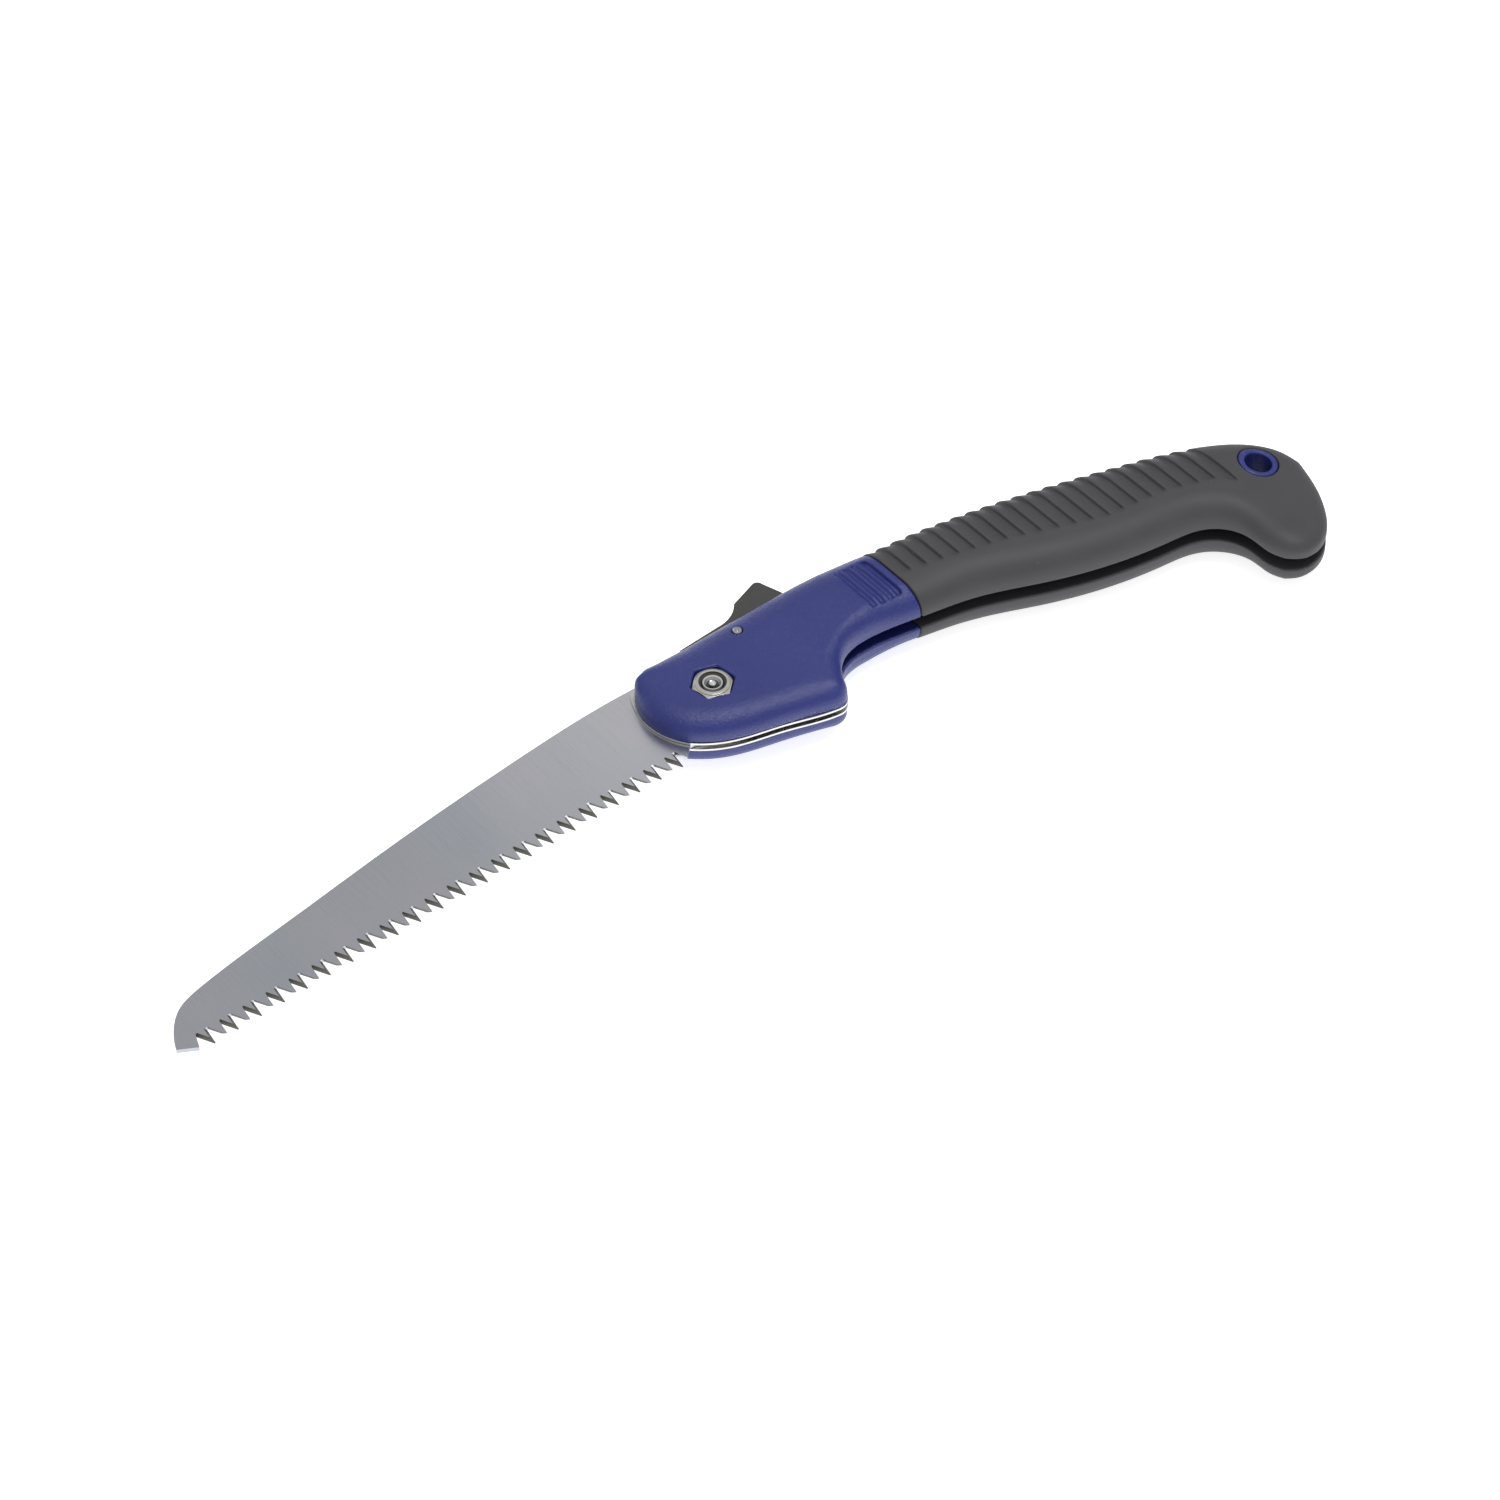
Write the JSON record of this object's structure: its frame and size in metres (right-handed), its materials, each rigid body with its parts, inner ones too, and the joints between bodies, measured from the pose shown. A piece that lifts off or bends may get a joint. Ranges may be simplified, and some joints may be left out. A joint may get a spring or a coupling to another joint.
{
  "type": "folding pruning saw",
  "caption": "Folding pruning saw: a toothed blade turns on a pivot into a split, rubber-covered handle with a sprung lock lever.",
  "frame": {"origin": "centre of the hanging hole at the rear end of the handle, at the middle of the handle's thickness", "axes": "+X along the tooth line away from the blade, towards the handle's rear end; +Y towards the spine with the lock lever; +Z along the pivot and the hanging hole, towards the nut side; the saw lies on its far side with the blade open"},
  "size_m": [0.3522, 0.0855, 0.021],
  "materials": {
    "blade_steel": "cross-brushed saw plate",
    "blue_plastic": "fine-grained matte moulding",
    "grey_rubber": "soft matte rubber with ridges",
    "plate_steel": "bright rolled strip",
    "zinc_steel": "bright zinc plate",
    "pin_steel": "bright",
    "spring_steel": "blued spring steel",
    "bronze": "plain bearing bronze",
    "nylon": "natural nylon",
    "pad_plastic": "dark fine-grained plastic"
  },
  "bodies": {
    "handle": {"near_shell": "blue_plastic", "far_shell": "blue_plastic", "near_grip": "grey_rubber", "far_grip": "grey_rubber", "near_liner": "plate_steel", "far_liner": "plate_steel", "pivot_bolt": "zinc_steel", "pivot_nut": "zinc_steel", "nut_insert": "nylon", "pivot_bush": "bronze", "bolt_washer": "zinc_steel", "pivot_washers": "nylon", "lever_pin": "pin_steel", "lever_spring": "spring_steel", "stop_pins": "pin_steel", "liner_spacer": "zinc_steel", "handle_screws": "zinc_steel"},
    "blade": {"blade": "blade_steel"},
    "lever": {"lock_lever": "plate_steel", "lever_pad": "pad_plastic"}
  },
  "joints": [
    {"name": "blade_fold", "type": "hinge", "parent": "handle", "child": "blade", "pos_m": [-0.165, 0.0288, 0], "axis": [0, 0, 1], "range_deg": [0, 163]},
    {"name": "lever_rock", "type": "hinge", "parent": "handle", "child": "lever", "pos_m": [-0.148, 0.0395, 0], "axis": [0, 0, 1], "range_deg": [0, 6]}
  ]
}
